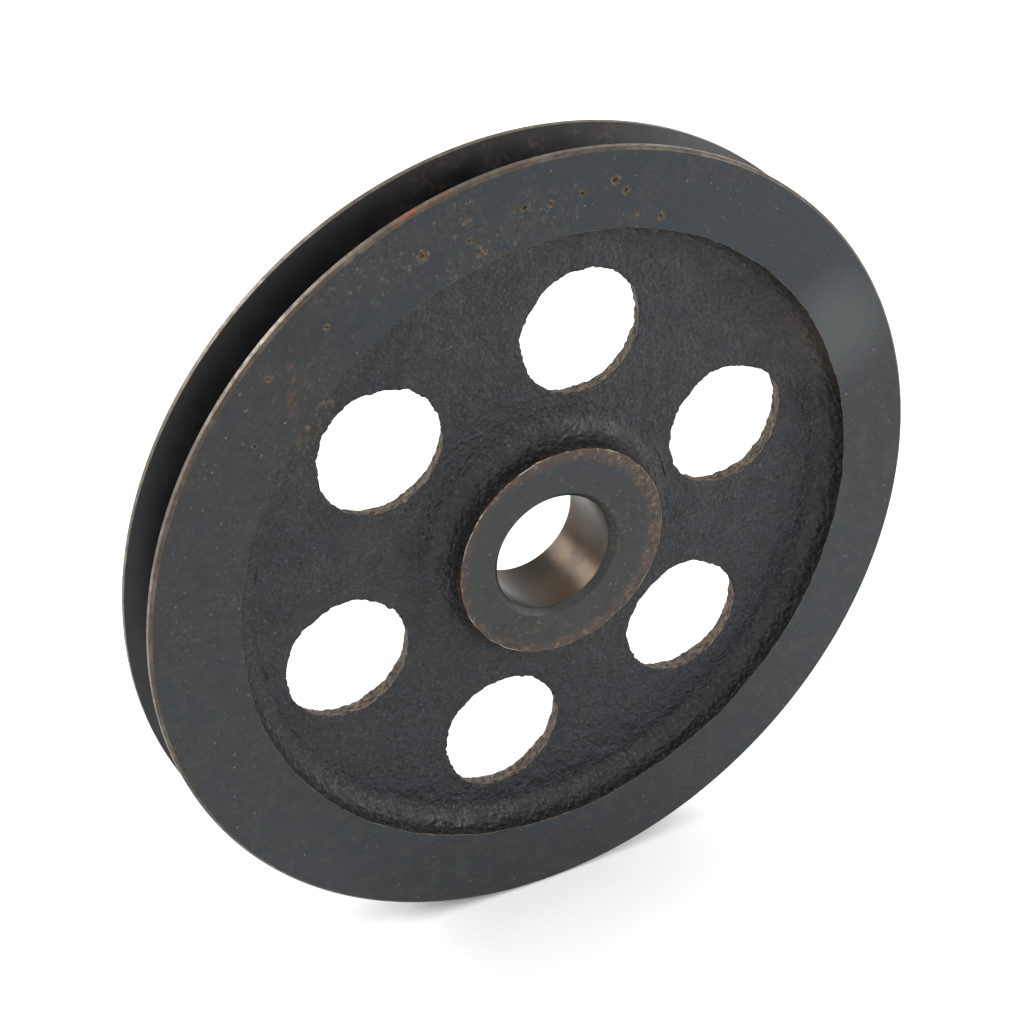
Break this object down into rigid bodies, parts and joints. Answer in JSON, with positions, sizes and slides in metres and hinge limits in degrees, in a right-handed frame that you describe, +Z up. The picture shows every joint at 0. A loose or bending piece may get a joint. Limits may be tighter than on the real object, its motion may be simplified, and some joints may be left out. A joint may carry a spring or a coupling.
{
  "type": "single-groove V-belt pulley",
  "caption": "Cast-iron V-belt pulley with a bored hub, a thin web with round lightening holes and one belt groove in its rim.",
  "frame": {"origin": "on the bore axis, half way across the belt groove", "axes": "+Y along the bore towards the back of the wheel, the front faces -Y, +Z is up and +X is to the right seen from the front"},
  "size_m": [0.2, 0.0215, 0.2],
  "materials": {
    "turned_iron": "turned, oil-blackened, satin, with rust freckles",
    "sand_cast_iron": "as cast in sand, blackened, rough",
    "hub_iron": "turned end faces and bore, as-cast wall, light rust"
  },
  "bodies": {
    "root": {"hub": "hub_iron", "web": "sand_cast_iron", "rim": "turned_iron"}
  },
  "joints": []
}
